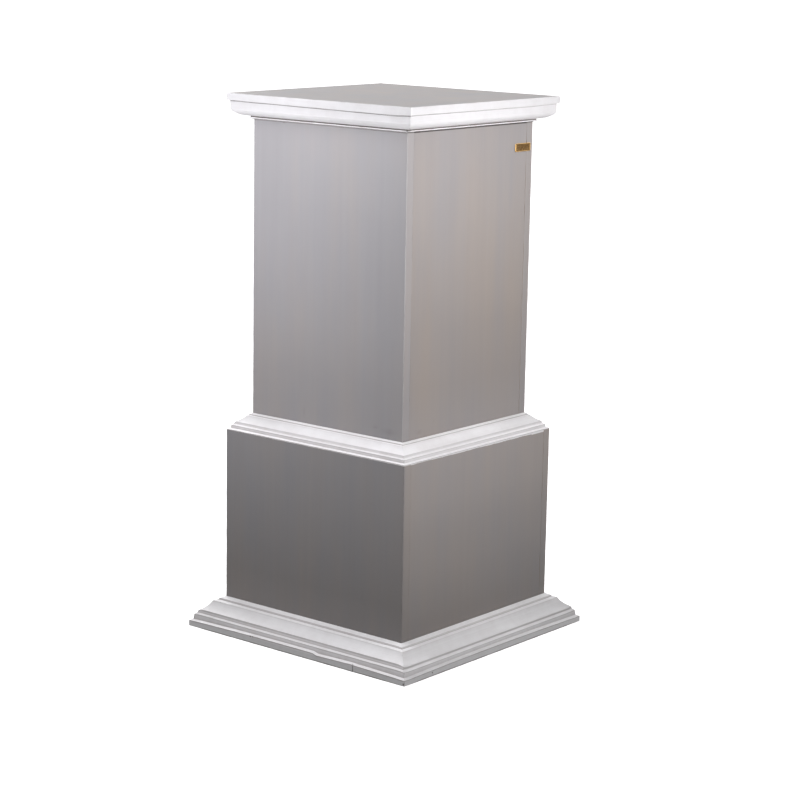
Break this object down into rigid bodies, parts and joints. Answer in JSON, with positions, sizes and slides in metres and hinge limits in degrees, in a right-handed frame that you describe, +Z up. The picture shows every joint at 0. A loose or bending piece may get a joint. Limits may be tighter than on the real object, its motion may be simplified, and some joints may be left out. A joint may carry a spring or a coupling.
{
  "type": "wooden display column",
  "caption": "Square two-tier display column of grey painted boards with white mitred mouldings at foot, middle and top, under a flat square top board.",
  "frame": {"origin": "middle of the underside, on the floor", "axes": "+Z up along the column, -Y out of the front face, which carries the small brass plate, +X to the right of the front"},
  "size_m": [0.528, 0.528, 1],
  "materials": {
    "grey_paint": "satin grey paint brushed over wood",
    "white_paint": "satin off-white paint over wood, dirt in the hollows",
    "bare_wood": "unpainted planed wood, inside",
    "brass_plate": "dull aged brass"
  },
  "bodies": {
    "root": {"plinth_panel_left": "grey_paint", "plinth_panel_right": "grey_paint", "plinth_panel_front": "grey_paint", "plinth_panel_back": "grey_paint", "plinth_deck": "bare_wood", "base_moulding_front": "white_paint", "base_moulding_right": "white_paint", "base_moulding_back": "white_paint", "base_moulding_left": "white_paint", "shaft_panel_left": "grey_paint", "shaft_panel_right": "grey_paint", "shaft_panel_front": "grey_paint", "shaft_panel_back": "grey_paint", "band_moulding_front": "white_paint", "band_moulding_right": "white_paint", "band_moulding_back": "white_paint", "band_moulding_left": "white_paint", "cap_moulding_front": "white_paint", "cap_moulding_right": "white_paint", "cap_moulding_back": "white_paint", "cap_moulding_left": "white_paint", "top_board": "grey_paint", "name_plate": "brass_plate"}
  },
  "joints": []
}
